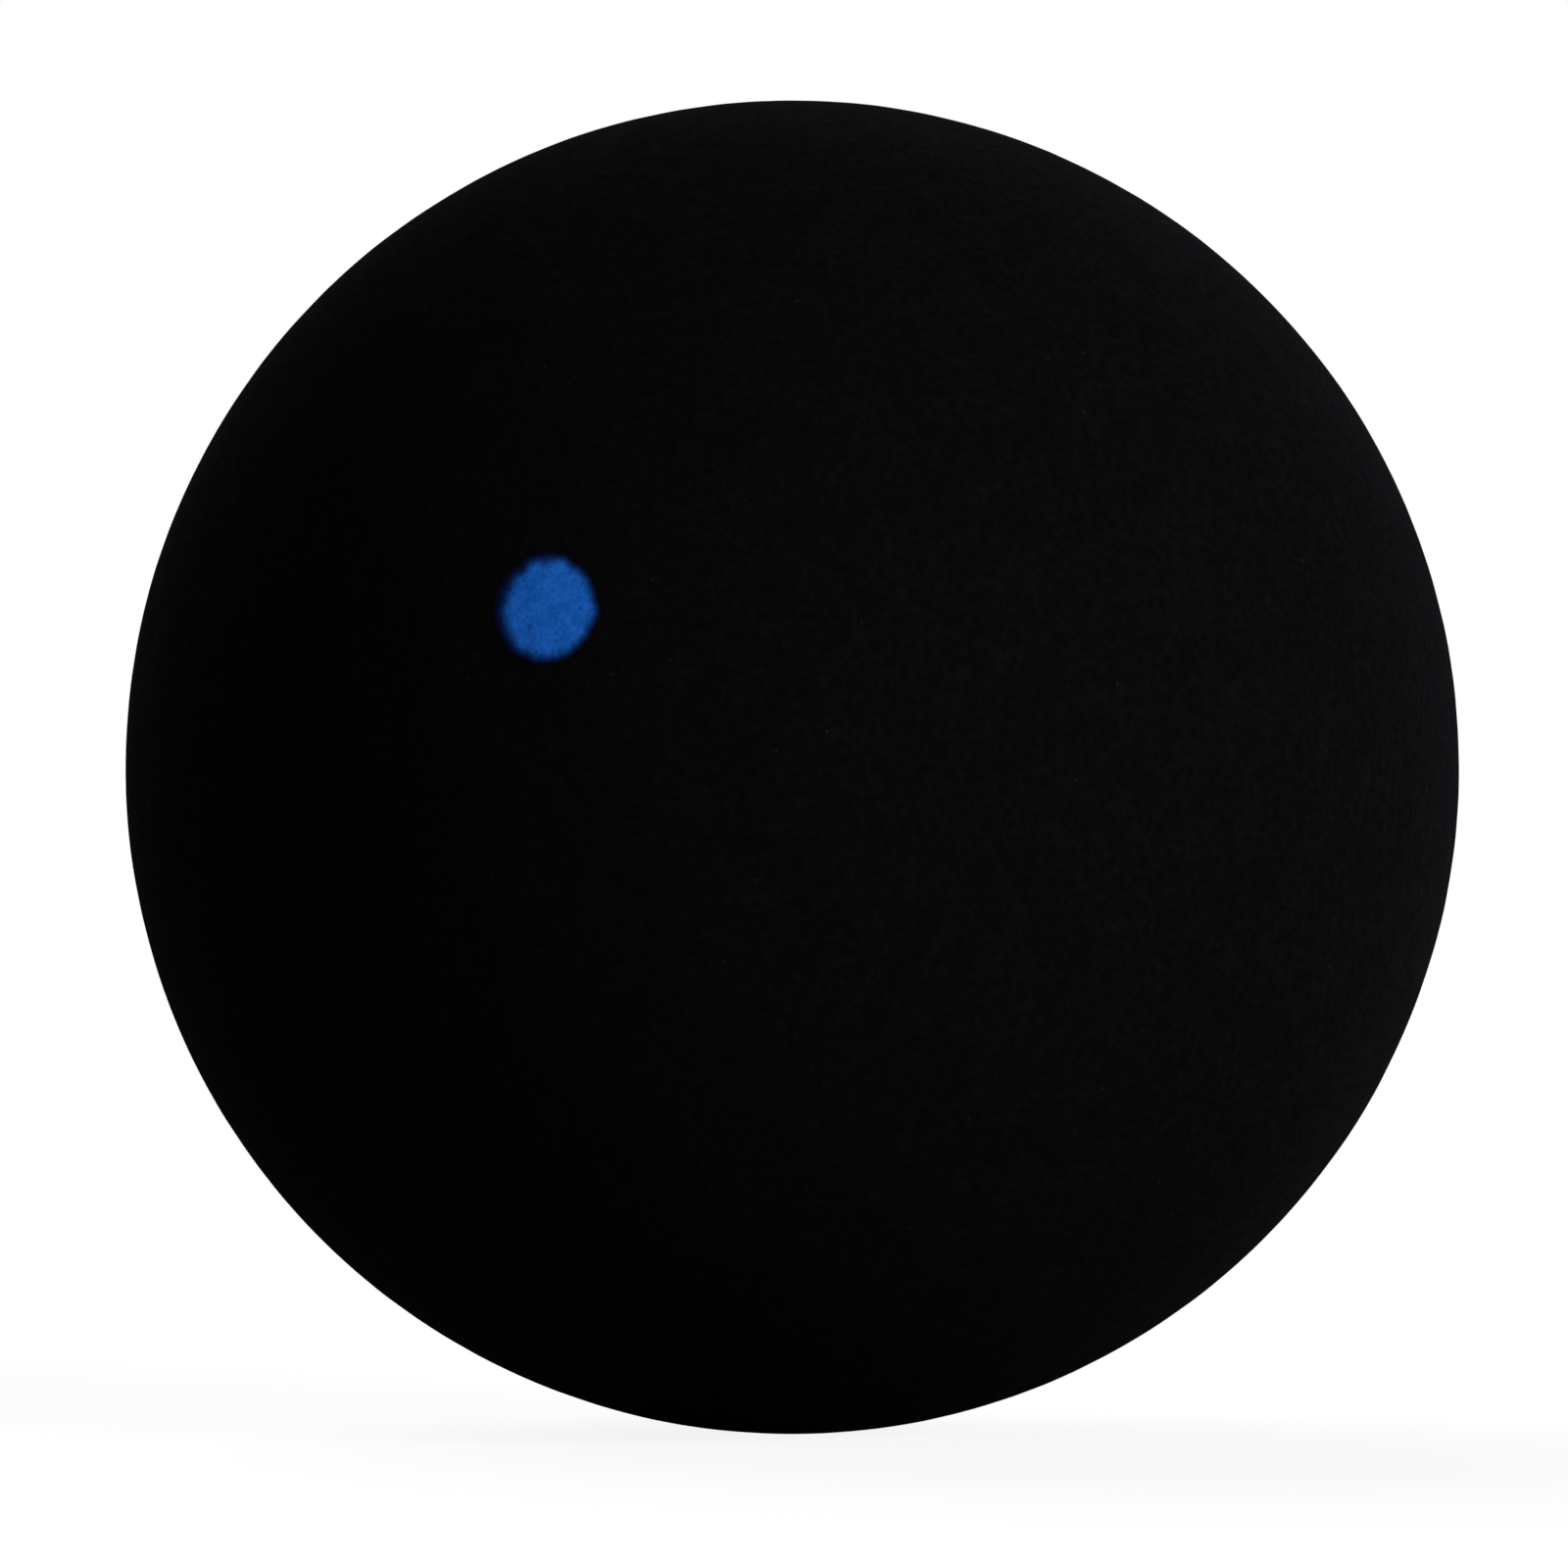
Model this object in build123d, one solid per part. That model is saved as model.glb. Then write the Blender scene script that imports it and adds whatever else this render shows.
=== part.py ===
from build123d import *

import os
from math import asin, cos, sin, sqrt

# Squash ball: two moulded rubber half shells, bonded rim to rim into one sealed hollow
# ball, buffed matt, with a printed dot that tells its speed.
# Millimetres and degrees. The origin is the ball's centre and +Z is up. The seam lies in
# the XZ plane, and the half shell that carries the dot faces -Y, the front.

# Driving dimensions of the shell
BALL_DIAMETER = 40.0  # the rules of the game ask for 39.5 to 40.5
WALL = 5.0  # brings the ball to about 24 g in a filled butyl rubber

# Driving dimensions of the bonded seam
ADHESIVE_THICKNESS = 0.12  # cured rubber solution between the two rims
SEAM_EDGE_ROUND = 0.05  # outer edge of each rim, softened by the buffing
RIM_BEVEL = 0.6  # inner edge of each rim, broken so that the adhesive can gather there
BEAD_CROWN = 0.25  # how far the gathered adhesive stands above the inner wall

# Driving dimensions of the printed dot
DOT_DIAMETER = 3.0
DOT_THICKNESS = 0.05
DOT_FROM_POLE = 24.6  # angle at the ball's centre, from the front pole to the dot
DOT_CLOCK = 146.9  # anticlockwise from +X, seen from the front

# Sizes that follow from these
OUTER_RADIUS = BALL_DIAMETER / 2
INNER_RADIUS = OUTER_RADIUS - WALL
RIM_OFFSET = ADHESIVE_THICKNESS / 2  # from the seam plane to each rim


def on_circle(radius, offset):
    """The point of a section at this distance from the centre and from the seam plane."""
    return (sqrt(radius**2 - offset**2), offset)


# Corners of the seam's section as (distance from the seam axis, distance from the seam
# plane), shared by the rims and by the adhesive that fills the space between them
BEVEL_WALL = on_circle(INNER_RADIUS, RIM_OFFSET + RIM_BEVEL)
BEVEL_RIM = (on_circle(INNER_RADIUS, RIM_OFFSET)[0] + RIM_BEVEL, RIM_OFFSET)
ROUND_CENTRE = on_circle(OUTER_RADIUS - SEAM_EDGE_ROUND, RIM_OFFSET + SEAM_EDGE_ROUND)
ROUND_RIM = (ROUND_CENTRE[0], RIM_OFFSET)


def arc_about_centre(radius, start, end):
    """The short arc about the ball's centre between two points of a section."""
    middle = (Vector(start) + Vector(end)).normalized() * radius
    return ThreePointArc(start, middle, end)


def mirrored(point):
    """The same point of a section on the other side of the seam plane."""
    return (point[0], -point[1])


def rear_half_shell():
    """One moulded half shell: a bowl with a flat rim, bevelled inside and rounded outside."""
    outer_pole = (0, OUTER_RADIUS)
    inner_pole = (0, INNER_RADIUS)
    sharp_corner = on_circle(OUTER_RADIUS, RIM_OFFSET)
    section = make_face(
        [
            arc_about_centre(OUTER_RADIUS, outer_pole, sharp_corner),
            Line(sharp_corner, BEVEL_RIM),
            Line(BEVEL_RIM, BEVEL_WALL),
            arc_about_centre(INNER_RADIUS, BEVEL_WALL, inner_pole),
            Line(inner_pole, outer_pole),
        ]
    )
    rim_corner = section.vertices().sort_by(Axis.X)[-1]
    return revolve(fillet(rim_corner, SEAM_EDGE_ROUND), Axis.Y)


def seam_adhesive():
    """The film between the rims, with a bead where it gathers inside the ball."""
    crown = (INNER_RADIUS - BEAD_CROWN, 0)
    section = make_face(
        [
            Polyline(
                BEVEL_WALL,
                BEVEL_RIM,
                ROUND_RIM,
                mirrored(ROUND_RIM),
                mirrored(BEVEL_RIM),
                mirrored(BEVEL_WALL),
            ),
            ThreePointArc(mirrored(BEVEL_WALL), crown, BEVEL_WALL),
        ]
    )
    return revolve(section, Axis.Y)


def grade_dot():
    """The printed dot: a film of ink that follows the ball's surface."""
    half_angle = asin(DOT_DIAMETER / 2 / OUTER_RADIUS)
    top_radius = OUTER_RADIUS + DOT_THICKNESS
    seat_middle = (0, -OUTER_RADIUS)
    top_middle = (0, -top_radius)
    seat_edge = (OUTER_RADIUS * sin(half_angle), -OUTER_RADIUS * cos(half_angle))
    top_edge = (top_radius * sin(half_angle), -top_radius * cos(half_angle))
    section = make_face(
        [
            arc_about_centre(OUTER_RADIUS, seat_middle, seat_edge),
            Line(seat_edge, top_edge),
            arc_about_centre(top_radius, top_edge, top_middle),
            Line(top_middle, seat_middle),
        ]
    )
    at_front_pole = revolve(section, Axis.Y)
    return at_front_pole.rotate(Axis.Z, DOT_FROM_POLE).rotate(Axis.Y, -DOT_CLOCK)


rear = rear_half_shell()
pieces = {
    "front_half_shell": rear.rotate(Axis.Z, 180),
    "rear_half_shell": rear,
    "seam_adhesive": seam_adhesive(),
    "grade_dot": grade_dot(),
}

os.makedirs("parts", exist_ok=True)
for name, piece in pieces.items():
    export_step(piece, f"parts/{name}.step")
    print(f"{name}: {piece.volume:.2f} mm3")
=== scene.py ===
from math import acos, asin, atan, cos, pi, radians, sin

import bmesh
import bpy
import numpy as np
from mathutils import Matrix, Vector, noise


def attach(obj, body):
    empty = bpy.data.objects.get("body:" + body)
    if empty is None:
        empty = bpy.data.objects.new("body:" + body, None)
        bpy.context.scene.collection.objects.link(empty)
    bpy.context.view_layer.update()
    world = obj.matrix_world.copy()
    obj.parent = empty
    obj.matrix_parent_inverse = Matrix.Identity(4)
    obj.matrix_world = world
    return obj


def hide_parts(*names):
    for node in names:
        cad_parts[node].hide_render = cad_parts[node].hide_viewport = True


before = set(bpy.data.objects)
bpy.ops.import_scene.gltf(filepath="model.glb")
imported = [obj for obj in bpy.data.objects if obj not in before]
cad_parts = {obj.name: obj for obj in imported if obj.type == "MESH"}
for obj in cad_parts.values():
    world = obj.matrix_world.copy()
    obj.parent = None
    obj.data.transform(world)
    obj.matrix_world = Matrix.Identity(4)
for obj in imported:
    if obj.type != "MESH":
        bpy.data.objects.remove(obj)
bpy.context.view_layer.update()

# A squash ball: two rubber half shells bonded rim to rim, buffed matt, with a printed dot.
# Metres, in the part's own frame: the origin is the ball's centre, +Z is up, the seam lies
# in the XZ plane and the dot is on the -Y half.
MM = 0.001
BODY = "root"
FRONT = -1
REAR = 1

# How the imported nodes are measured
TOUCH = 0.001 * MM  # two corners closer than this lie on the same surface
CORNER_DECIMALS = 7  # of a metre; corners that agree to these are one


def packed_corners(node):
    """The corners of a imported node's mesh, one row each."""
    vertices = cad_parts[node].data.vertices
    flat = np.empty(3 * len(vertices), dtype=np.float32)
    vertices.foreach_get("co", flat)
    return np.unique(flat.reshape(-1, 3).astype(float).round(CORNER_DECIMALS), axis=0)


def unit(vector):
    return vector / np.linalg.norm(vector)


# Sizes of the shells and of the seam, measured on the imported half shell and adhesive
shell = packed_corners("rear_half_shell")
shell_reach = np.linalg.norm(shell, axis=1)
BALL_RADIUS = shell_reach.max()
HOLLOW_RADIUS = shell_reach.min()
RIM_DEPTH = shell[:, 1].min()  # from the seam plane to the rim
rim_reach = np.hypot(shell[:, 0], shell[:, 2])[shell[:, 1] < RIM_DEPTH + TOUCH]
RIM_OUTSIDE = rim_reach.max()
RIM_INSIDE = rim_reach.min()
BEVEL_DEPTH = shell[shell_reach < HOLLOW_RADIUS + TOUCH, 1].min()
seam = packed_corners("seam_adhesive")
BEAD_REACH = np.hypot(seam[:, 0], seam[:, 2]).min()

# The rim's outer edge is rounded by an arc that touches the rim at RIM_OUTSIDE and the ball
EDGE_ROUND = (BALL_RADIUS**2 - RIM_OUTSIDE**2 - RIM_DEPTH**2) / (2 * (BALL_RADIUS + RIM_DEPTH))

# Sizes of the dot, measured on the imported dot
dot = packed_corners("grade_dot")
dot_reach = np.linalg.norm(dot, axis=1)
DOT_MIDDLE = unit(dot.mean(axis=0))
DOT_RADIUS = BALL_RADIUS * np.arccos((dot @ DOT_MIDDLE / dot_reach).min())  # along the surface
INK_THICKNESS = dot_reach.max() - BALL_RADIUS
DOT_EAST = unit(np.cross((0, 0, 1), DOT_MIDDLE))
DOT_NORTH = np.cross(DOT_MIDDLE, DOT_EAST)

# Relief of the buffed rubber: shallow waves left by the buffing wheel
WHEEL_WAVE = 2.6 * MM
WHEEL_WAVE_HEIGHT = 0.012 * MM
NAP_WAVE = 0.7 * MM
NAP_WAVE_HEIGHT = 0.006 * MM
CALM_AT_SEAM = 0.8 * MM  # the waves die out over this distance from the rounded edge

# The adhesive's edge in the groove between the rounded rims, as shares of their rounding
FILM_EDGE = 0.35  # how far it stands out on average
FILM_UNEVEN = 0.6  # how far it swells and falls short along the seam
FILM_WAVE = 1.6 * MM

# Outline of the printed dot: an uneven blot
DOT_LOBES = (  # how many lobes, how far they stand out, bearing of one of them
    (1, 0.037 * MM, radians(204)),
    (2, 0.042 * MM, radians(105)),
    (3, 0.006 * MM, radians(-6)),
    (4, 0.014 * MM, radians(-7)),
)
DOT_RAGGED = 0.08 * MM
DOT_RAGGED_WAVE = 0.42 * MM
RAGGED_LAYERS = 2  # waves on waves
RAGGED_FINER = 2.0  # each layer's waves are this much shorter
RAGGED_FALL = 1.0  # and lower by this power of it

# Thickness of the ink: full in the middle, thinner at the edge, in flaws and where it ran
INK_BLEED = 0.105 * MM  # the print's edge lies this far past the dot's own radius
INK_EDGE = 0.48 * MM  # the ink thins out over this distance
INK_EDGE_THICKNESS = 0.1  # share of the ink's thickness that is left at the very edge
INK_SINK = 0.012 * MM  # how far the ink keys into the rubber's grain
INK_RUN = 0.2 * MM  # thin ink has run this far past the print's edge on one side
INK_RUN_TO = radians(160)  # bearing of that side
INK_RUN_COVER = 0.07  # share of the full ink that it leaves there
INK_RUN_EDGE = 0.25 * MM  # the run thins out over this distance
DOT_FLAWS = (  # east and north of the dot's middle, size, share of the ink that is missing
    (-0.57 * MM, -0.53 * MM, 0.11 * MM, 0.45),  # a pinhole
    (-0.24 * MM, 1.32 * MM, 0.2 * MM, 0.35),  # a thin patch at the upper edge
)
SPECKS = 26  # small flaws, scattered over the dot
SPECK_SEED = 5
SPECK_AREA = 0.9  # share of the dot's area that they keep to
SPECK_SIZE = (0.03 * MM, 0.06 * MM)
SPECK_MISSING = (0.15, 0.4)

# Fineness of the nets of quads
SHELL_RINGS = 128
HOLLOW_RINGS = 64
EDGE_STEPS = 5
DOT_RINGS = 48
SEAM_STEPS = 768
BEAD_STEPS = 8


def smooth_step(value, low, high):
    """0 up to low, 1 from high on, with a soft turn at both ends."""
    share = np.clip((value - low) / (high - low), 0, 1)
    return share * share * (3 - 2 * share)


def buffed_lift(direction):
    """How far the buffed rubber stands off the true ball in this direction."""
    place = Vector(direction) * BALL_RADIUS
    wheel = noise.noise(place / WHEEL_WAVE)
    nap = noise.noise(place / NAP_WAVE)
    return WHEEL_WAVE_HEIGHT * wheel + NAP_WAVE_HEIGHT * nap


def round_net(rings):
    """A square net of quads wrapped onto a disc, so that no corner crowds the middle.

    Gives each corner's share of the radius and its bearing, the quads, and the corners of
    the outer edge in order. Ring k of the net has 8 k corners, evenly spaced.
    """
    steps = np.arange(-rings, rings + 1)
    across, up = np.meshgrid(steps, steps)
    sideways = abs(across) >= abs(up)
    main = np.where(sideways, across, up)
    other = np.where(sideways, up, across)
    turn = other / np.where(main == 0, 1, main) * pi / 4
    bearing = np.where(sideways, turn, pi / 2 - turn) + np.where(main < 0, pi, 0)
    share = abs(main) / rings
    corner = np.arange(share.size).reshape(share.shape)
    quads = np.stack(
        [corner[:-1, :-1], corner[:-1, 1:], corner[1:, 1:], corner[1:, :-1]], axis=-1
    )
    on_edge = share == 1
    place = np.round(bearing[on_edge] * 4 * rings / pi).astype(int) % (8 * rings)
    edge = corner[on_edge][np.argsort(place)]
    return share.ravel(), bearing.ravel(), quads.reshape(-1, 4), edge


def full_circle(steps):
    return np.arange(steps) * 2 * pi / steps


def round_the_seam(reach, depth, bearing):
    """Points at this distance from the seam's axis and from the seam plane."""
    reach, depth, bearing = np.broadcast_arrays(reach, depth, bearing)
    return np.stack([reach * np.cos(bearing), depth, reach * np.sin(bearing)], axis=-1)


def turn_outwards(mesh):
    """Turns every face of a closed mesh outwards."""
    net = bmesh.new()
    net.from_mesh(mesh)
    bmesh.ops.recalc_face_normals(net, faces=net.faces)
    net.to_mesh(mesh)
    net.free()


class Skin:
    """The corners and faces of one piece, gathered stretch by stretch."""

    def __init__(self):
        self.corners = []
        self.faces = []
        self.finishes = []

    def corners_at(self, points):
        """Adds corners and gives their numbers."""
        first = len(self.corners)
        self.corners.extend(map(tuple, points))
        return np.arange(first, len(self.corners))

    def cover(self, faces, finish=0):
        self.faces.extend(map(tuple, faces))
        self.finishes.extend([finish] * len(faces))

    def band(self, ring, other, finish=0):
        """Quads between two closed rings with as many corners."""
        sides = [ring, np.roll(ring, -1), np.roll(other, -1), other]
        self.cover(np.stack(sides, axis=1), finish)

    def stitch(self, fine, coarse, finish=0):
        """Triangles between a closed ring and one with half as many corners."""
        start, middle = fine[0::2], fine[1::2]
        end = np.roll(start, -1)
        near, far = coarse, np.roll(coarse, -1)
        self.cover(np.stack([start, middle, near], axis=1), finish)
        self.cover(np.stack([middle, far, near], axis=1), finish)
        self.cover(np.stack([middle, end, far], axis=1), finish)

    def piece(self, name, materials):
        """The finished piece, closed, with every face turned outwards and smooth shading."""
        mesh = bpy.data.meshes.new(name)
        mesh.from_pydata(self.corners, [], self.faces)
        for material in materials:
            mesh.materials.append(material)
        mesh.polygons.foreach_set("material_index", self.finishes)
        mesh.update()
        mesh.shade_smooth()
        turn_outwards(mesh)
        made = bpy.data.objects.new(name, mesh)
        bpy.context.scene.collection.objects.link(made)
        return made


def half_shell(name, facing, materials):
    """A buffed dome with a rounded edge, a ground rim, a bevel and a moulded hollow."""
    buffed, ground, moulded = range(3)
    skin = Skin()
    edge_depth = RIM_DEPTH + EDGE_ROUND
    edge_angle = asin(edge_depth / (BALL_RADIUS - EDGE_ROUND))

    share, bearing, quads, edge = round_net(SHELL_RINGS)
    from_pole = share * (pi / 2 - edge_angle)
    direction = round_the_seam(np.sin(from_pole), facing * np.cos(from_pole), bearing)
    from_edge = BALL_RADIUS * (pi / 2 - edge_angle) * (1 - share)
    calm = smooth_step(from_edge, 0, CALM_AT_SEAM)
    lift = calm * np.array([buffed_lift(d) for d in direction])
    dome = skin.corners_at(direction * (BALL_RADIUS + lift)[:, None])
    skin.cover(dome[quads], buffed)

    ring = dome[edge]
    fine = full_circle(8 * SHELL_RINGS)
    for angle in np.linspace(edge_angle, -pi / 2, EDGE_STEPS + 1)[1:]:
        reach = RIM_OUTSIDE + EDGE_ROUND * cos(angle)
        depth = edge_depth + EDGE_ROUND * sin(angle)
        new = skin.corners_at(round_the_seam(reach, facing * depth, fine))
        skin.band(ring, new, buffed)
        ring = new

    coarse = full_circle(8 * HOLLOW_RINGS)
    rim_middle = (RIM_OUTSIDE + RIM_INSIDE) / 2
    middle = skin.corners_at(round_the_seam(rim_middle, facing * RIM_DEPTH, coarse))
    skin.stitch(ring, middle, ground)
    inside = skin.corners_at(round_the_seam(RIM_INSIDE, facing * RIM_DEPTH, coarse))
    skin.band(middle, inside, ground)

    share, bearing, quads, edge = round_net(HOLLOW_RINGS)
    from_pole = share * acos(BEVEL_DEPTH / HOLLOW_RADIUS)
    direction = round_the_seam(np.sin(from_pole), facing * np.cos(from_pole), bearing)
    hollow = skin.corners_at(direction * HOLLOW_RADIUS)
    skin.cover(hollow[quads], moulded)
    skin.band(inside, hollow[edge], ground)
    return skin.piece(name, materials)


def film_edge(bearing):
    """How far the adhesive stands out between the rims here, as a share of their rounding."""
    place = Vector((cos(bearing), sin(bearing), 0)) * BALL_RADIUS
    return FILM_EDGE + FILM_UNEVEN * noise.noise(place / FILM_WAVE)


def bonded_seam(name, materials):
    """The film of adhesive between the rims, with its bead inside the ball."""
    bevel_reach = np.sqrt(HOLLOW_RADIUS**2 - BEVEL_DEPTH**2)
    bead_turn = np.linspace(0, pi, BEAD_STEPS + 1)
    bead = [
        (bevel_reach - (bevel_reach - BEAD_REACH) * sin(turn), -BEVEL_DEPTH * cos(turn))
        for turn in bead_turn
    ]
    bearing = full_circle(SEAM_STEPS)
    film = [
        (RIM_INSIDE, RIM_DEPTH),
        (RIM_OUTSIDE, RIM_DEPTH),
        (RIM_OUTSIDE + EDGE_ROUND * np.array([film_edge(b) for b in bearing]), 0),
        (RIM_OUTSIDE, -RIM_DEPTH),
        (RIM_INSIDE, -RIM_DEPTH),
    ]
    skin = Skin()
    rings = [skin.corners_at(round_the_seam(r, d, bearing)) for r, d in bead + film]
    for ring, other in zip(rings, rings[1:] + rings[:1]):
        skin.band(ring, other)
    return skin.piece(name, materials)


def dot_edge(bearing):
    """How far the print reaches from the dot's middle on this bearing."""
    reach = DOT_RADIUS + INK_BLEED
    for lobes, height, lobe in DOT_LOBES:
        reach += height * cos(lobes * (bearing - lobe))
    place = Vector((cos(bearing), sin(bearing), 0)) * DOT_RADIUS / DOT_RAGGED_WAVE
    return reach + DOT_RAGGED * noise.fractal(place, RAGGED_FALL, RAGGED_FINER, RAGGED_LAYERS)


def ink_run(bearing):
    """How far the thin ink has run past the print's edge on these bearings."""
    return INK_RUN * ((1 + np.cos(bearing - INK_RUN_TO)) / 2) ** 2


def dot_flaws():
    """Where ink is missing, as (east, north, size, share missing): the flaws and the specks."""
    draw = np.random.default_rng(SPECK_SEED)
    flaws = list(DOT_FLAWS)
    for _ in range(SPECKS):
        bearing = draw.uniform(0, 2 * pi)
        away = DOT_RADIUS * np.sqrt(draw.uniform(0, SPECK_AREA))
        size = draw.uniform(*SPECK_SIZE)
        missing = draw.uniform(*SPECK_MISSING)
        flaws.append((away * cos(bearing), away * sin(bearing), size, missing))
    return flaws


def printed_dot(name, materials):
    """A film of ink on the buffed rubber, thinner at its edge, in flaws and where it ran."""
    share, bearing, quads, edge = round_net(DOT_RINGS)
    print_edge = np.array([dot_edge(b) for b in bearing])
    run_edge = print_edge + ink_run(bearing)
    away = share * run_edge
    east, north = away * np.cos(bearing), away * np.sin(bearing)
    along = np.outer(np.cos(bearing), DOT_EAST) + np.outer(np.sin(bearing), DOT_NORTH)
    angle = (away / BALL_RADIUS)[:, None]
    direction = DOT_MIDDLE * np.cos(angle) + along * np.sin(angle)
    rubber = BALL_RADIUS + np.array([buffed_lift(d) for d in direction])

    inked = smooth_step(print_edge - away, 0, INK_EDGE)
    for flaw_east, flaw_north, size, missing in dot_flaws():
        nearness = np.exp(-((east - flaw_east) ** 2 + (north - flaw_north) ** 2) / size**2)
        inked *= 1 - missing * nearness
    inked += (1 - inked) * INK_RUN_COVER * smooth_step(run_edge - away, 0, INK_RUN_EDGE)
    film = INK_THICKNESS * (INK_EDGE_THICKNESS + (1 - INK_EDGE_THICKNESS) * inked)

    skin = Skin()
    top = skin.corners_at(direction * (rubber + film)[:, None])
    seat = skin.corners_at(direction * (rubber - INK_SINK)[:, None])
    skin.cover(top[quads])
    skin.cover(seat[quads])
    skin.band(top[edge], seat[edge])
    made = skin.piece(name, materials)
    cover = made.data.attributes.new("inked", "FLOAT", "POINT")
    cover.data.foreach_set("value", np.concatenate([inked, inked]))
    return made


class Wire:
    """A shader socket that does sums: an expression on it adds the Math nodes that it needs."""

    def __init__(self, sheet, socket):
        self.sheet = sheet
        self.socket = socket

    def worked(self, operation, first, second):
        return self.sheet.node("ShaderNodeMath", {"operation": operation}, {0: first, 1: second})

    def __add__(self, other):
        return self.worked("ADD", self, other)

    __radd__ = __add__

    def __sub__(self, other):
        return self.worked("SUBTRACT", self, other)

    def __rsub__(self, other):
        return self.worked("SUBTRACT", other, self)

    def __mul__(self, other):
        return self.worked("MULTIPLY", self, other)

    __rmul__ = __mul__


def socket_called(sockets, key):
    """A socket by its number, or by its identifier or name."""
    if isinstance(key, int):
        return sockets[key]
    return next(s for s in sockets if key in (s.identifier, s.name))


class NodeSheet:
    """The shader nodes of one finish, of the floor or of the surroundings."""

    def __init__(self, tree):
        self.tree = tree
        tree.nodes.clear()

    def node(self, kind, settings=None, inputs=None, output=0):
        """Adds a node, sets it, then gives its sockets their values or links."""
        made = self.tree.nodes.new(kind)
        for key, value in (settings or {}).items():
            setattr(made, key, value)
        for key, value in (inputs or {}).items():
            socket = socket_called(made.inputs, key)
            if isinstance(value, Wire):
                self.tree.links.new(value.socket, socket)
            else:
                socket.default_value = value
        if not made.outputs:
            return None
        return Wire(self, socket_called(made.outputs, output))

    def place(self):
        """Where a point of the surface is, in metres from the ball's centre."""
        return self.node("ShaderNodeTexCoord", output="Object")

    def grain(self, size, detail=2.0, roughness=0.5):
        """Cloudy noise from 0 to 1, with blots of about this size."""
        inputs = {
            "Vector": self.place(),
            "Scale": 1 / size,
            "Detail": detail,
            "Roughness": roughness,
        }
        return self.node("ShaderNodeTexNoise", {}, inputs, "Fac")

    def specks(self, spacing):
        """Distance to the nearest of many scattered points, as a share of their spacing."""
        inputs = {"Vector": self.place(), "Scale": 1 / spacing}
        return self.node("ShaderNodeTexVoronoi", {"feature": "F1"}, inputs, "Distance")

    def step(self, value, low, high):
        """0 up to low and 1 from high on, with a soft turn at both ends."""
        settings = {"interpolation_type": "SMOOTHSTEP"}
        inputs = {"Value": value, "From Min": low, "From Max": high}
        return self.node("ShaderNodeMapRange", settings, inputs, "Result")

    def tint(self, share, colour, other):
        """The first colour where share is 0 and the other where it is 1."""
        inputs = {"Factor_Float": share, "A_Color": colour, "B_Color": other}
        return self.node("ShaderNodeMix", {"data_type": "RGBA"}, inputs, "Result_Color")

    def relief(self, height, depth):
        """A normal that shows this height, 0 to 1, as a relief of this depth."""
        return self.node("ShaderNodeBump", {}, {"Height": height, "Distance": depth}, "Normal")

    def shader(self, **looks):
        """A Principled shader with these looks, named as its sockets are."""
        inputs = {key.replace("_", " "): value for key, value in looks.items()}
        return self.node("ShaderNodeBsdfPrincipled", {}, inputs, "BSDF")

    def glancing(self):
        """0 where the surface is seen square on, 1 where the line of sight grazes it."""
        return self.node("ShaderNodeLayerWeight", output="Facing")

    def layered(self, share, shader, other):
        """The first shader where share is 0 and the other where it is 1."""
        return self.node("ShaderNodeMixShader", {}, {0: share, 1: shader, 2: other}, "Shader")


def finish(name, draw):
    """A material whose surface is drawn on its own sheet of nodes."""
    material = bpy.data.materials.new(name)
    material.use_nodes = True
    sheet = NodeSheet(material.node_tree)
    sheet.node("ShaderNodeOutputMaterial", {}, {"Surface": draw(sheet)})
    return material


# Finishes. Colours are linear red, green and blue, and opacity. A range says where a grain
# begins to tell and where it tells in full.
NO_SHINE = 0.0

# Buffed rubber, the ball's outside
BLACK_RUBBER = (0.0027, 0.0027, 0.0032, 1)
WORN_RUBBER = (0.0053, 0.0053, 0.0061, 1)
DUST = (0.0140, 0.0140, 0.0150, 1)
NAP_SHADE = (0.0086, 0.0086, 0.0099, 1)
NAP_ENDS = (0.0168, 0.0168, 0.0194, 1)
NAP_GRAIN = {"size": 0.26 * MM, "detail": 4, "roughness": 0.6}
PATCH_GRAIN = {"size": 1.3 * MM}
CLOUD_GRAIN = {"size": 5 * MM}
NAP_WEAR, PATCH_WEAR, CLOUD_WEAR = 0.74, 0.19, 0.07  # how much each grain counts in the wear
WORN_RANGE = (0.36, 0.8)
DUST_SPACING = 0.8 * MM
DUST_SPECK = (0.04, 0.09)  # a speck fades out between these shares of the spacing
DUSTY_RANGE = (0.42, 0.66)  # of the patches that hold dust
DUST_COVER = 0.6
NAP_RELIEF = 0.012 * MM
BUFFED_ROUGHNESS, NAP_ROUGHER, CLOUD_ROUGHER = 0.7, 0.16, 0.06
NAP_ENDS_ROUGHNESS = 0.9


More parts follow.
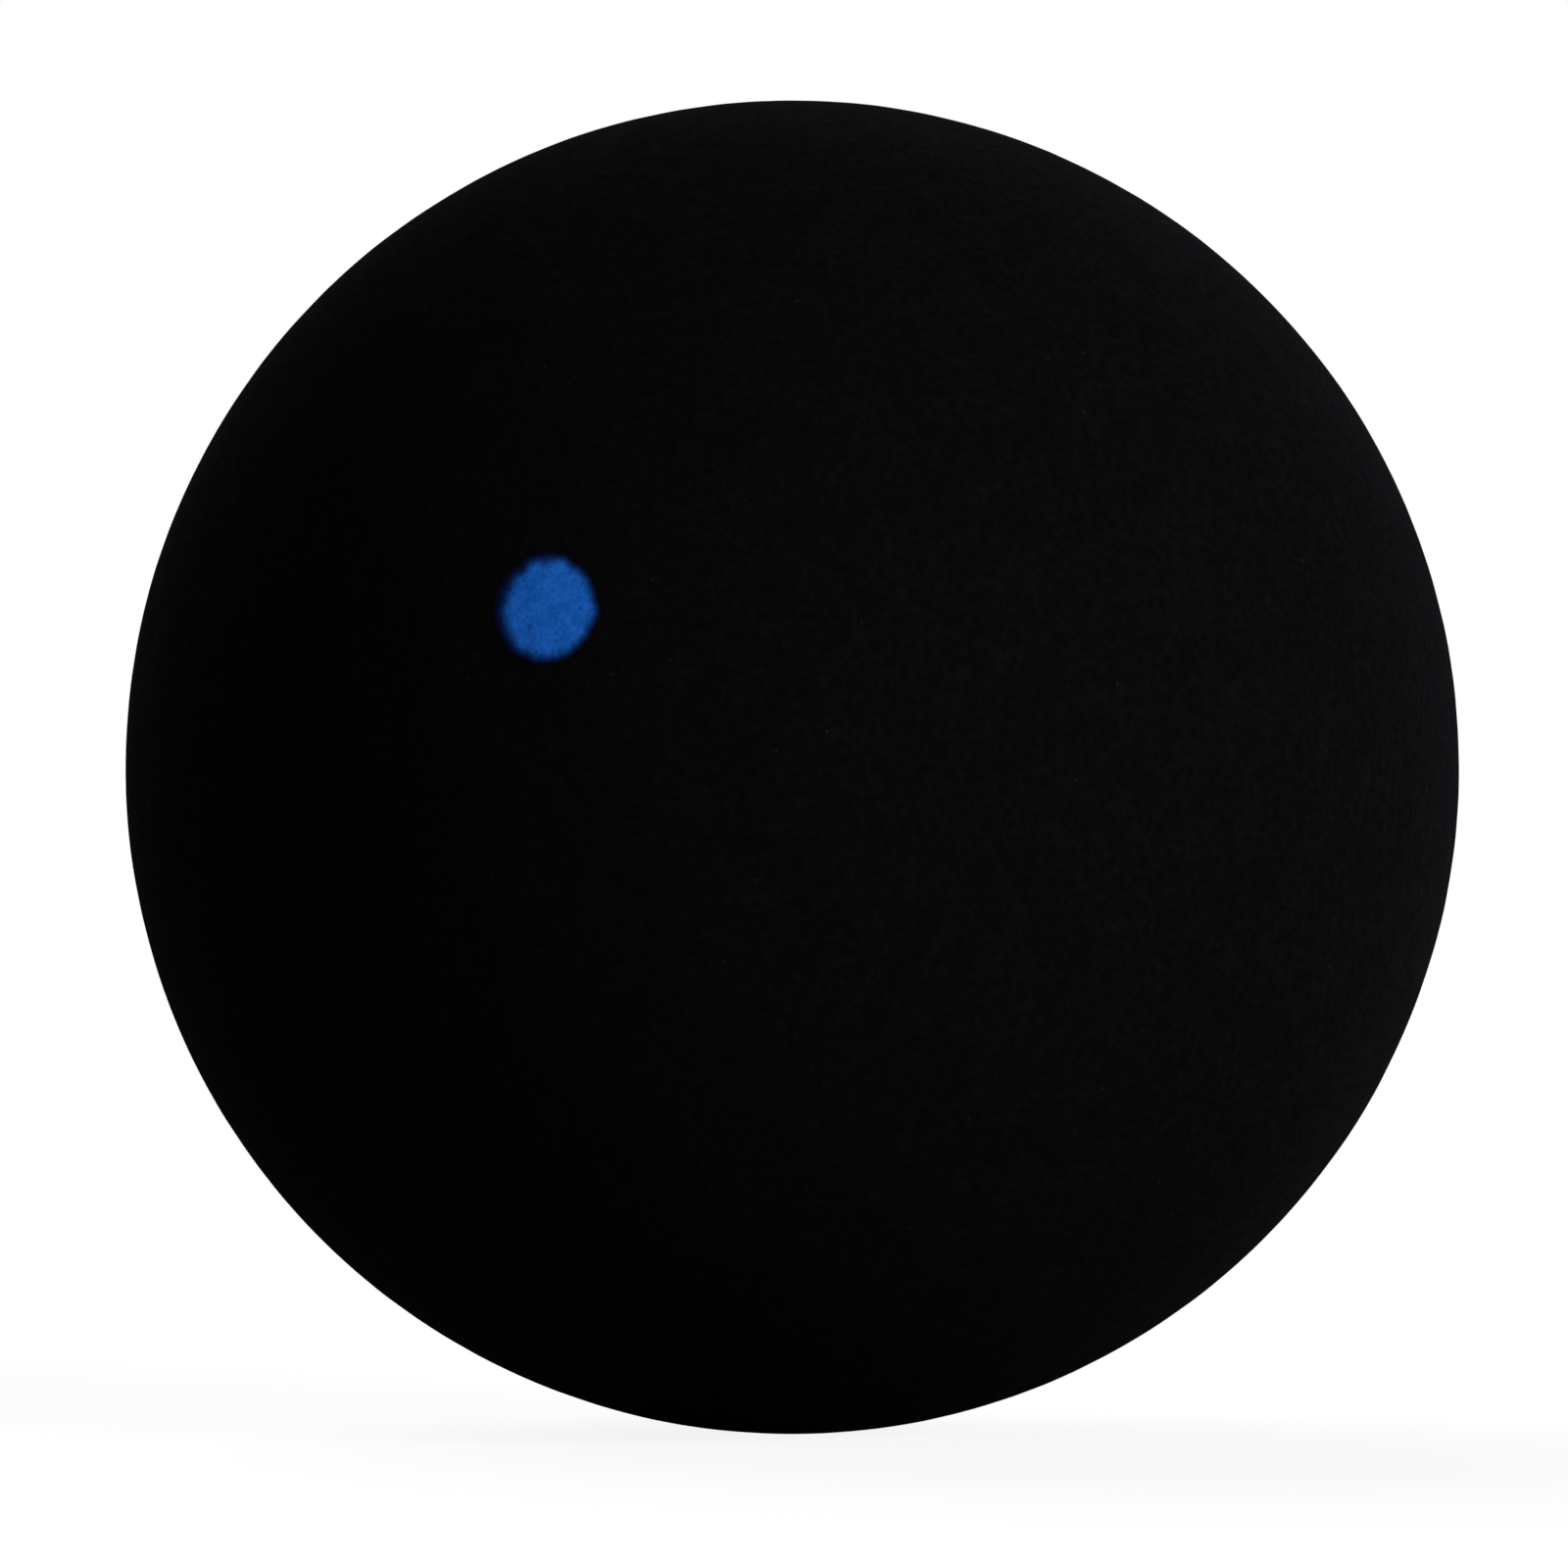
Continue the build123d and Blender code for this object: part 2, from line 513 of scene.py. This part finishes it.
def buffed_rubber(sheet):
    """The ball's outside: black rubber, roughened by the wheel to a fine matt nap.

    Seen along the surface, the ends of the nap cover it with a paler sheen.
    """
    nap = sheet.grain(**NAP_GRAIN)
    patch = sheet.grain(**PATCH_GRAIN)
    cloud = sheet.grain(**CLOUD_GRAIN)
    dust = 1 - sheet.step(sheet.specks(DUST_SPACING), *DUST_SPECK)
    dusty = sheet.step(patch, *DUSTY_RANGE)
    worn = sheet.step(nap * NAP_WEAR + patch * PATCH_WEAR + cloud * CLOUD_WEAR, *WORN_RANGE)
    colour = sheet.tint(worn, BLACK_RUBBER, WORN_RUBBER)
    relief = sheet.relief(nap, NAP_RELIEF)
    rubber = sheet.shader(
        Base_Color=sheet.tint(dust * dusty * DUST_COVER, colour, DUST),
        Roughness=BUFFED_ROUGHNESS + NAP_ROUGHER * nap + CLOUD_ROUGHER * cloud,
        Specular_IOR_Level=NO_SHINE,
        Normal=relief,
    )
    ends = sheet.shader(
        Base_Color=sheet.tint(worn, NAP_SHADE, NAP_ENDS),
        Roughness=NAP_ENDS_ROUGHNESS,
        Specular_IOR_Level=NO_SHINE,
        Normal=relief,
    )
    glancing = sheet.glancing()
    sheen = glancing * glancing
    return sheet.layered(sheen * sheen, rubber, ends)


# Ground rubber, the rims; and moulded rubber, the hollow
HOLLOW_RUBBER = (0.0035, 0.0035, 0.0040, 1)
TOOTH_GRAIN = {"size": 0.3 * MM, "detail": 4, "roughness": 0.65}
TOOTH_RANGE = (0.35, 0.7)
TOOTH_RELIEF = 0.06 * MM
GROUND_ROUGHNESS, TOOTH_ROUGHER = 0.8, 0.15
GROUND_SHINE = 0.05
PEEL_GRAIN = {"size": 0.9 * MM, "detail": 1}
PEEL_RELIEF = 0.03 * MM
HOLLOW_CLOUD_GRAIN = {"size": 6 * MM}
HOLLOW_RANGE = (0.35, 0.7)
MOULDED_ROUGHNESS, PEEL_ROUGHER = 0.5, 0.15
MOULDED_SHINE = 0.15


def ground_rubber(sheet):
    """The rims, ground flat and left coarse for the adhesive to key into."""
    tooth = sheet.grain(**TOOTH_GRAIN)
    return sheet.shader(
        Base_Color=sheet.tint(sheet.step(tooth, *TOOTH_RANGE), HOLLOW_RUBBER, WORN_RUBBER),
        Roughness=GROUND_ROUGHNESS + TOOTH_ROUGHER * tooth,
        Specular_IOR_Level=GROUND_SHINE,
        Normal=sheet.relief(tooth, TOOTH_RELIEF),
    )


def moulded_rubber(sheet):
    """The inside, as it came out of the mould: smoother, with a faint orange peel."""
    peel = sheet.grain(**PEEL_GRAIN)
    cloud = sheet.grain(**HOLLOW_CLOUD_GRAIN)
    return sheet.shader(
        Base_Color=sheet.tint(sheet.step(cloud, *HOLLOW_RANGE), BLACK_RUBBER, HOLLOW_RUBBER),
        Roughness=MOULDED_ROUGHNESS + PEEL_ROUGHER * peel,
        Specular_IOR_Level=MOULDED_SHINE,
        Normal=sheet.relief(peel, PEEL_RELIEF),
    )


# Rubber solution, the cured adhesive
CURED_SOLUTION = (0.0040, 0.0034, 0.0030, 1)
SOLUTION_STREAK = (0.0090, 0.0075, 0.0062, 1)
STREAK_GRAIN = {"size": 0.5 * MM, "detail": 3}
STREAK_RANGE = (0.4, 0.7)
STREAK_RELIEF = 0.02 * MM
SOLUTION_ROUGHNESS, STREAK_ROUGHER = 0.5, 0.25


def rubber_solution(sheet):
    """Cured adhesive: a little browner and smoother than the rubber beside it."""
    streak = sheet.grain(**STREAK_GRAIN)
    streaked = sheet.step(streak, *STREAK_RANGE)
    return sheet.shader(
        Base_Color=sheet.tint(streaked, CURED_SOLUTION, SOLUTION_STREAK),
        Roughness=SOLUTION_ROUGHNESS + STREAK_ROUGHER * streak,
        Specular_IOR_Level=NO_SHINE,
        Normal=sheet.relief(streak, STREAK_RELIEF),
    )


# Ink of the dot
THIN_INK = (0.0063, 0.0845, 0.4850, 1)
BLUE_INK = (0.0101, 0.1220, 0.5620, 1)
PALE_INK = (0.0191, 0.1750, 0.7410, 1)
MOTTLE_GRAIN = {"size": 0.35 * MM, "detail": 3, "roughness": 0.6}
INK_GRAIN = {"size": 0.13 * MM, "detail": 3, "roughness": 0.6}
MOTTLE_PALER, INK_GRAIN_PALER = 0.6, 0.4  # how much each grain counts in the pale places
PALE_RANGE = (0.36, 0.66)
INK_HELD, INK_GRAIN_HELD = 0.8, 0.4  # cover where the grain is low, and what it adds
FULL_INK_RANGE = (0.1, 0.8)  # of the cover, from thin ink to full
INK_RELIEF = 0.012 * MM
INK_ROUGHNESS, INK_GRAIN_ROUGHER = 0.62, 0.16


def dot_ink(sheet):
    """Matt blue ink, mottled, and darker where it is thin."""
    mottle = sheet.grain(**MOTTLE_GRAIN)
    grain = sheet.grain(**INK_GRAIN)
    inked = sheet.node("ShaderNodeAttribute", {"attribute_name": "inked"}, {}, "Fac")
    pale = sheet.step(MOTTLE_PALER * mottle + INK_GRAIN_PALER * grain, *PALE_RANGE)
    full = sheet.tint(pale, BLUE_INK, PALE_INK)
    cover = inked * (INK_HELD + INK_GRAIN_HELD * grain)
    ink = sheet.tint(sheet.step(cover, *FULL_INK_RANGE), THIN_INK, full)
    return sheet.shader(
        Base_Color=sheet.tint(cover, BLACK_RUBBER, ink),
        Roughness=INK_ROUGHNESS + INK_GRAIN_ROUGHER * grain,
        Specular_IOR_Level=NO_SHINE,
        Normal=sheet.relief(grain, INK_RELIEF),
    )


def dress(piece, node):
    """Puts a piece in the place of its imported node."""
    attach(piece, BODY)
    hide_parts(node)


shell_finishes = [
    finish("buffed_rubber", buffed_rubber),
    finish("ground_rubber", ground_rubber),
    finish("moulded_rubber", moulded_rubber),
]
dress(half_shell("front_shell", FRONT, shell_finishes), "front_half_shell")
dress(half_shell("rear_shell", REAR, shell_finishes), "rear_half_shell")
seam_finishes = [finish("rubber_solution", rubber_solution)]
dress(bonded_seam("bonded_seam", seam_finishes), "seam_adhesive")
dress(printed_dot("printed_dot", [finish("dot_ink", dot_ink)]), "grade_dot")

# Studio: a pale floor, a white surround and two soft lamps
FLOOR_SIDE = 8.0
FLOOR_WHITE = (0.9, 0.9, 0.9, 1)  # as it is seen
FLOOR_GREY = (0.35, 0.35, 0.35, 1)  # what it gives back to the ball
FLOOR_GLOW_SHARE = 0.8  # of what is seen of the floor; the paint's share shows the shadow
FLOOR_GLOW = 1.11
SURROUND_WHITE = (1, 1, 1, 1)
SURROUND_LIGHT = 0.09
KEY_FROM = (0.72, -0.63, 0.24)
KEY_STRENGTH = 2.8
KEY_SPREAD = 28  # degrees across
BACK_FROM = (-0.40, 0.66, 0.61)
BACK_STRENGTH = 2.0
BACK_SPREAD = 60


def seen_as_white(sheet):
    """1 for the rays that show the surroundings: seen directly, in a gloss or through glass."""
    seen = sheet.node("ShaderNodeLightPath", output="Is Camera Ray")
    for ray in ("Is Glossy Ray", "Is Transmission Ray"):
        other = sheet.node("ShaderNodeLightPath", output=ray)
        seen = sheet.node("ShaderNodeMath", {"operation": "MAXIMUM"}, {0: seen, 1: other})
    return seen


def floor_paint(sheet):
    """White to look at, with the ball's shadow, and grey to the light that goes back up."""
    seen = seen_as_white(sheet)
    colour = sheet.tint(seen, FLOOR_GREY, FLOOR_WHITE)
    paint = sheet.node("ShaderNodeBsdfDiffuse", {}, {"Color": colour}, "BSDF")
    glow = sheet.node("ShaderNodeEmission", {}, {"Strength": FLOOR_GLOW}, "Emission")
    return sheet.layered(FLOOR_GLOW_SHARE * seen, paint, glow)


def pale_floor():
    """The floor that the ball rests on."""
    half = FLOOR_SIDE / 2
    quarters = ((-1, -1), (1, -1), (1, 1), (-1, 1))
    corners = [(x * half, y * half, -BALL_RADIUS) for x, y in quarters]
    mesh = bpy.data.meshes.new("floor")
    mesh.from_pydata(corners, [], [(0, 1, 2, 3)])
    mesh.materials.append(finish("pale_floor", floor_paint))
    floor = bpy.data.objects.new("floor", mesh)
    bpy.context.scene.collection.objects.link(floor)


def white_surround():
    """White to look at, with a plain soft light of its own."""
    world = bpy.data.worlds.new("surround")
    bpy.context.scene.world = world
    world.use_nodes = True
    sheet = NodeSheet(world.node_tree)
    seen = seen_as_white(sheet)
    inputs = {"Color": SURROUND_WHITE, "Strength": seen + (1 - seen) * SURROUND_LIGHT}
    light = sheet.node("ShaderNodeBackground", {}, inputs, "Background")
    sheet.node("ShaderNodeOutputWorld", {}, {"Surface": light})


def soft_lamp(name, direction, strength, spread):
    """A far lamp with a wide soft disc, shining from this direction."""
    lamp = bpy.data.lights.new(name, "SUN")
    lamp.energy = strength
    lamp.angle = radians(spread)
    holder = bpy.data.objects.new(name, lamp)
    holder.rotation_euler = Vector(direction).to_track_quat("Z", "Y").to_euler()
    bpy.context.scene.collection.objects.link(holder)


# Camera: level with the ball's centre and square to the front, as in the photograph
PICTURE_SIDE = 1600
BALL_IN_PICTURE = (808.4, 782.9)  # the ball's centre in the photograph's pixels
BALL_RADIUS_IN_PICTURE = 680.5
LENS = 300  # millimetres, as is the sensor's width
SENSOR = 36
NEAREST_SHARE = 0.01  # of the distance to the ball
FARTHEST = 100


def photo_camera():
    """Sees the ball as large, and in the same place, as the photograph shows it."""
    camera = bpy.data.cameras.new("photo_camera")
    camera.lens = LENS
    camera.sensor_width = SENSOR
    camera.shift_x = (PICTURE_SIDE / 2 - BALL_IN_PICTURE[0]) / PICTURE_SIDE
    camera.shift_y = (BALL_IN_PICTURE[1] - PICTURE_SIDE / 2) / PICTURE_SIDE
    half_angle = atan(BALL_RADIUS_IN_PICTURE / PICTURE_SIDE * SENSOR / LENS)
    distance = BALL_RADIUS / sin(half_angle)
    camera.clip_start = distance * NEAREST_SHARE
    camera.clip_end = FARTHEST
    holder = bpy.data.objects.new("photo_camera", camera)
    holder.location = (0, -distance, 0)
    holder.rotation_euler = (pi / 2, 0, 0)
    bpy.context.scene.collection.objects.link(holder)
    bpy.context.scene.camera = holder


bpy.context.scene.view_settings.view_transform = "Standard"
pale_floor()
white_surround()
soft_lamp("key", KEY_FROM, KEY_STRENGTH, KEY_SPREAD)
soft_lamp("back", BACK_FROM, BACK_STRENGTH, BACK_SPREAD)
photo_camera()
